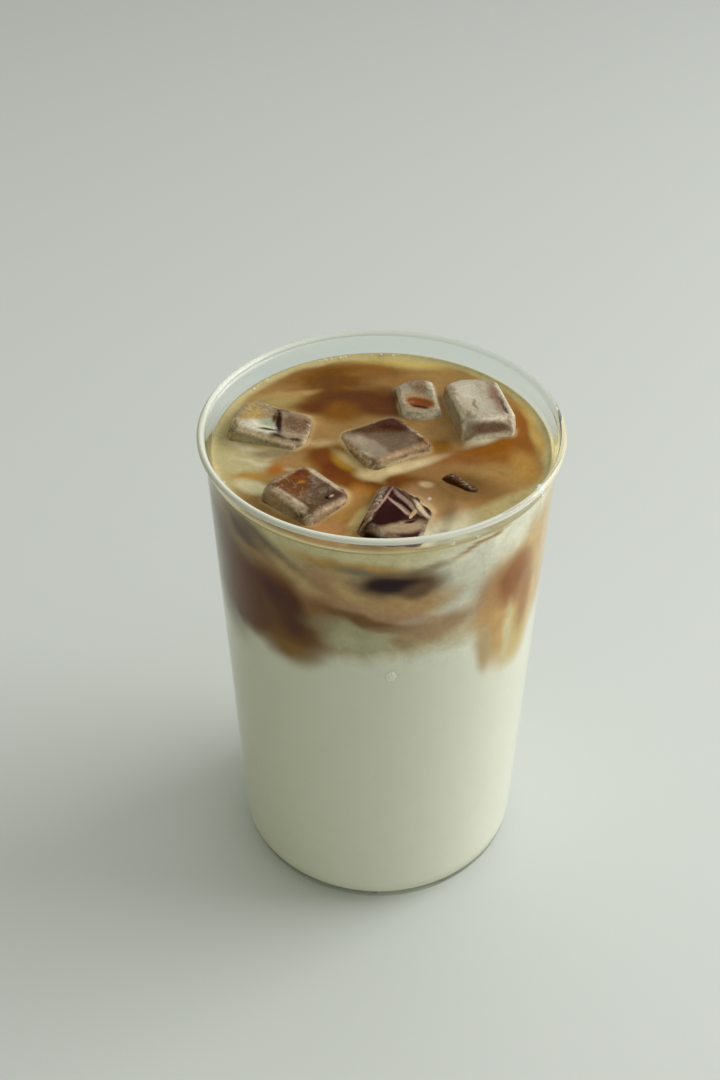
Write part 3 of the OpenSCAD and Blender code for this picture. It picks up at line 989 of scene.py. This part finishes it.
def make_drink(cubes):
    """Milk and coffee as one closed mesh: the open surface, the side and the bottom."""
    angles = np.linspace(0, 2 * math.pi, DRINK_AROUND, endpoint=False)
    ring = np.stack([np.cos(angles), np.sin(angles), np.zeros_like(angles)], axis=1)
    edge = inner_r(LEVEL) + REACH
    steps = np.linspace(0, 1, TOP_RINGS + 1)[1:]
    radii = edge * (RINGS_OUTWARDS * np.sqrt(steps) + (1 - RINGS_OUTWARDS) * steps)
    top = np.concatenate([[[0, 0, LEVEL]]] + [ring * r + [0, 0, LEVEL] for r in radii])
    heights, above_it, gaps = surface_heights(top, cubes)
    top[:, 2] = heights
    corner = inner_corner(grow=REACH)
    side_z = np.linspace(LEVEL + WALL_CLIMB, corner[-1][1], SIDE_RINGS)[1:]
    outline = [(inner_r(z) + REACH, z) for z in side_z] + corner[::-1][1:]
    outline += [(r, FLOOR_Z - REACH) for r in np.linspace(corner[0][0], 0, 8)[1:-1]]
    side = np.concatenate([ring * r + [0, 0, z] for r, z in outline])
    vertices = np.concatenate([top, side, [[0, 0, FLOOR_Z - REACH]]])
    broken = smoothstep(-0.5, 0.6, noise(top, 5.0, 81))
    surface = blend(top_colours(top), MENISCUS, 0.55 * broken * smoothstep(0.9, 0.1, gaps))
    # Under each cube the drink takes that cube's colour for the coffee under it, darkened as painted
    # shade.
    for i, node in enumerate(above_it):
        if node:
            surface[i] = srgb(*ICE[node]["shaded_pit"])[:3]
    milk = np.array([srgb(*MILK)[:3]])
    colours = np.concatenate([surface * TOP_LIGHTEN, side_colours(side), milk]) - VEIL

    n = DRINK_AROUND
    rings = 1 + (len(vertices) - 2) // n
    faces = [(0, 1 + j, 1 + (j + 1) % n) for j in range(n)]
    for i in range(rings - 2):
        for j in range(n):
            k = (j + 1) % n
            a = 1 + i * n
            faces.append((a + j, a + n + j, a + n + k, a + k))
    last = 1 + (rings - 2) * n
    faces += [(len(vertices) - 1, last + (j + 1) % n, last + j) for j in range(n)]
    drink = new_object("latte", vertices, faces)
    add_tint(drink, colours)
    add_field(drink, "mixed", 0.1 + 0.9 * smoothstep(*SWIRLS_IN, vertices[:, 2]))
    drink.data.materials.append(latte_material("latte_surface", wet=True))
    drink.data.materials.append(latte_material("latte_at_glass", wet=False))
    top_faces = n + (TOP_RINGS - 1) * n
    for face in drink.data.polygons:
        face.material_index = 0 if face.index < top_faces else 1
    face_outwards(drink)
    shade_smooth(drink)
    seat(drink, "coffee", "milk", "coffee")
    return drink


# ---------------------------------------------------------------- drops and bubbles


def domes(name, places, rows=8, cols=20):
    """Small round blobs joined in one mesh: (centre, outward direction, width, flatness, sag)."""
    vertices = []
    faces = []
    for centre, out, width, flatness, sag in places:
        out = Vector(out).normalized()
        side = out.cross(Vector((0, 0, 1)))
        side = side.normalized() if side.length > 0.01 else Vector((1, 0, 0))
        down = out.cross(side)
        start = len(vertices)
        for i in range(1, rows):
            tilt = math.pi * i / rows
            for j in range(cols):
                turn = 2 * math.pi * j / cols
                stretch = 1 + sag * max(0, math.cos(turn))
                point = out * math.cos(tilt) * flatness
                point += side * math.sin(tilt) * math.sin(turn)
                point += down * math.sin(tilt) * math.cos(turn) * stretch
                vertices.append(Vector(centre) + point * width / 2)
        ends = len(vertices)
        vertices.append(Vector(centre) + out * flatness * width / 2)
        vertices.append(Vector(centre) - out * flatness * width / 2)
        for j in range(cols):
            k = (j + 1) % cols
            faces.append((ends, start + k, start + j))
            last = start + (rows - 2) * cols
            faces.append((ends + 1, last + j, last + k))
            for i in range(rows - 2):
                a = start + i * cols
                faces.append((a + j, a + k, a + cols + k, a + cols + j))
    obj = new_object(name, [tuple(v) for v in vertices], faces)
    face_outwards(obj)
    shade_smooth(obj)
    return obj


def make_drops(material):
    """Water on the wall and on the rim."""
    places = []
    for direction, z, width in DROPS:
        a = math.radians(direction)
        on_rim = z > GLASS_H - 2
        radius = RIM_R - BEAD_R if on_rim else outer_r(z)
        centre = ((radius - 0.1) * math.cos(a), (radius - 0.1) * math.sin(a), z)
        out = (math.cos(a), math.sin(a), 0.8 if on_rim else 0)
        places.append((centre, out, width, 0.45, 0.0 if on_rim else 0.25))
    drops = domes("water_drops", places)
    drops.data.materials.append(material)
    seat(drops, "glass")


def make_bubbles(material):
    """Air bubbles in strings along the wall and in knots beside the ice."""
    rng = np.random.default_rng(BUBBLE_SEED)
    places = []
    for direction, spread, inset, count in BUBBLE_STRINGS:
        for _ in range(count):
            a = math.radians(direction + rng.uniform(-spread, spread))
            radius = inner_r(LEVEL) - inset - abs(rng.normal(0, 0.35))
            width = rng.uniform(*BUBBLE_WIDTH)
            height = LEVEL + wall_climb(max(inset, 0.1)) + 0.05
            centre = (radius * math.cos(a), radius * math.sin(a), height)
            places.append((centre, (0, 0, 1), width, 0.7, 0.0))
    bubbles = domes("foam_bubbles", places, rows=8, cols=14)
    bubbles.data.materials.append(material)
    seat(bubbles, "coffee")


# ---------------------------------------------------------------- studio


def make_floor():
    line = np.linspace(-FLOOR_SIZE / 2, FLOOR_SIZE / 2, FLOOR_STEPS + 1)
    vertices = [(x, y, 0) for y in line for x in line]
    faces = []
    for i in range(FLOOR_STEPS):
        for j in range(FLOOR_STEPS):
            a = i * (FLOOR_STEPS + 1) + j
            faces.append((a, a + 1, a + FLOOR_STEPS + 2, a + FLOOR_STEPS + 1))
    floor = new_object("studio_floor", vertices, faces)
    material, add, link = new_material("studio_floor")
    place = add("ShaderNodeTexCoord").outputs["Object"]
    body = add("ShaderNodeBsdfPrincipled")
    far = add("ShaderNodeSeparateXYZ")
    link(place, far.inputs[0])
    pale = add("ShaderNodeCombineColor")
    # The floor's colour darkens towards the back: painted shade
    for channel, near in zip(("Red", "Green", "Blue"), FLOOR_COLOUR):
        fade = map_range(add, link, far.outputs["Y"], *FLOOR_FADES, near, near * FLOOR_FADE)
        link(fade, pale.inputs[channel])
    link(pale.outputs[0], body.inputs["Base Color"])
    link(map_range(add, link, noise_node(add, link, place, 60), 0, 1, 0.45, 0.6), body.inputs["Roughness"])
    link(body.outputs[0], add("ShaderNodeOutputMaterial").inputs["Surface"])
    floor.data.materials.append(material)


def make_light():
    """A soft room that is bright to the right, with a large window there."""
    world = bpy.data.worlds.new("studio")
    bpy.context.scene.world = world
    world.use_nodes = True
    tree = world.node_tree
    tree.nodes.clear()
    place = tree.nodes.new("ShaderNodeTexCoord")
    facing = tree.nodes.new("ShaderNodeVectorMath")
    facing.operation = "DOT_PRODUCT"
    facing.inputs[1].default_value = BRIGHT_SIDE
    spread = tree.nodes.new("ShaderNodeMapRange")
    spread.inputs["From Min"].default_value = -1
    ramp = tree.nodes.new("ShaderNodeValToRGB")
    stops = ramp.color_ramp.elements
    stops.remove(stops[1])
    for index, (position, colour) in enumerate(ROOM_LIGHT):
        stop = stops[0] if index == 0 else stops.new(position)
        stop.position = position
        stop.color = (*colour, 1)
    background = tree.nodes.new("ShaderNodeBackground")
    out = tree.nodes.new("ShaderNodeOutputWorld")
    tree.links.new(place.outputs["Generated"], facing.inputs[0])
    tree.links.new(facing.outputs["Value"], spread.inputs["Value"])
    tree.links.new(spread.outputs["Result"], ramp.inputs[0])
    tree.links.new(ramp.outputs[0], background.inputs["Color"])
    tree.links.new(background.outputs[0], out.inputs["Surface"])

    window = bpy.data.lights.new("window", "AREA")
    window.shape = "RECTANGLE"
    window.size = WINDOW_SIZE[0]
    window.size_y = WINDOW_SIZE[1]
    window.energy = WINDOW_POWER
    window.color = WINDOW_COLOUR
    lamp = bpy.data.objects.new("window", window)
    lamp.location = WINDOW_AT
    aim = Vector(WINDOW_AIM) - lamp.location
    lamp.rotation_euler = aim.to_track_quat("-Z", "Y").to_euler()
    bpy.context.scene.collection.objects.link(lamp)


def make_camera():
    camera = bpy.data.cameras.new("camera")
    camera.lens = LENS
    camera.sensor_width = SENSOR
    obj = bpy.data.objects.new("camera", camera)
    up = math.radians(ELEVATION)
    target = Vector(LOOK_AT)
    obj.location = (target + Vector((0, -math.cos(up), math.sin(up))) * DISTANCE) * MM
    obj.rotation_euler = (math.radians(90) - up, 0, 0)
    bpy.context.scene.collection.objects.link(obj)
    bpy.context.scene.camera = obj


make_glass()
cubes = make_ice(ice_material())
make_drink(cubes)
# On the drops the pale layer is a painted highlight
make_drops(water_material("water_drop", 0.45))
make_bubbles(water_material("bubble_skin", 0.35))
make_floor()
make_light()
make_camera()
bpy.context.scene.view_settings.view_transform = "Standard"
